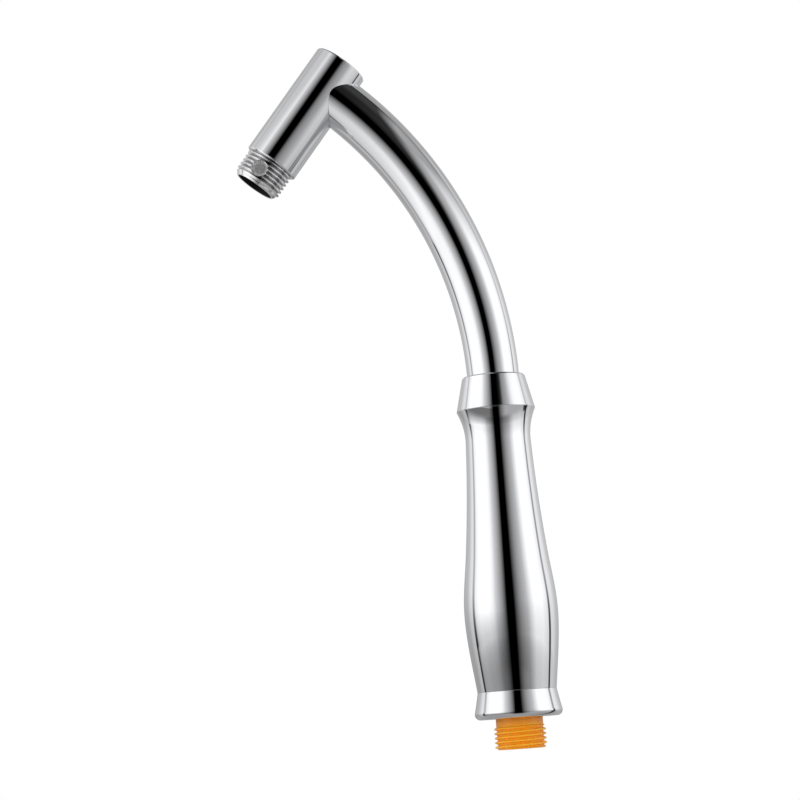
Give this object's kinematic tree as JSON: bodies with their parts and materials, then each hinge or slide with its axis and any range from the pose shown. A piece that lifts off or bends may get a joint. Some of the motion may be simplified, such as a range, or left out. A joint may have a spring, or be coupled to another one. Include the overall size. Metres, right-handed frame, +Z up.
{
  "type": "handheld bath sprayer",
  "caption": "Chromed spray wand with a swelling grip, a bent arm and a slanted threaded head; hose thread at the foot, spring-loaded check valve inside.",
  "frame": {"origin": "centre of the inlet spigot's sealing face, at the foot of the grip", "axes": "+Z up the grip's axis, the arm bends towards -X, Y is across the plane of the bend"},
  "size_m": [0.1187, 0.038, 0.2947],
  "materials": {
    "chrome": "bright chrome plate, mirror polished",
    "thread_metal": "machined thread under thin plating, bright satin",
    "orange_plastic": "moulded orange plastic, semi gloss",
    "brass": "turned brass",
    "copper": "drawn copper tube",
    "rubber": "black nitrile rubber, matt",
    "white_acetal": "moulded acetal, natural white",
    "stainless": "bright stainless wire"
  },
  "bodies": {
    "handset": {"inlet_core": "orange_plastic", "inlet_screen": "stainless", "check_valve_body": "white_acetal", "check_valve_o_ring": "rubber", "check_valve_spring": "stainless", "check_valve_cage": "white_acetal", "base_ring": "chrome", "core_gasket": "rubber", "grip": "chrome", "water_pipe": "copper", "core_o_ring": "rubber", "insert_o_ring": "rubber", "arm_insert": "brass", "arm_tube": "chrome", "arm_ferrule": "brass", "collar": "chrome", "collar_o_ring": "rubber", "joint_sleeve": "brass", "head_barrel": "chrome", "head_cap": "chrome", "cap_gasket": "rubber", "outlet_nipple": "thread_metal", "outlet_gasket": "rubber"},
    "poppet": {"check_valve_poppet": "white_acetal", "check_valve_seal": "rubber"}
  },
  "joints": [
    {"name": "poppet_slide", "type": "slide", "parent": "handset", "child": "poppet", "axis": [0, 0, 1], "range_m": [0, 0.003], "stiffness_N_per_m": 120, "springref_m": -0.002, "deforming": ["check_valve_spring"]}
  ]
}
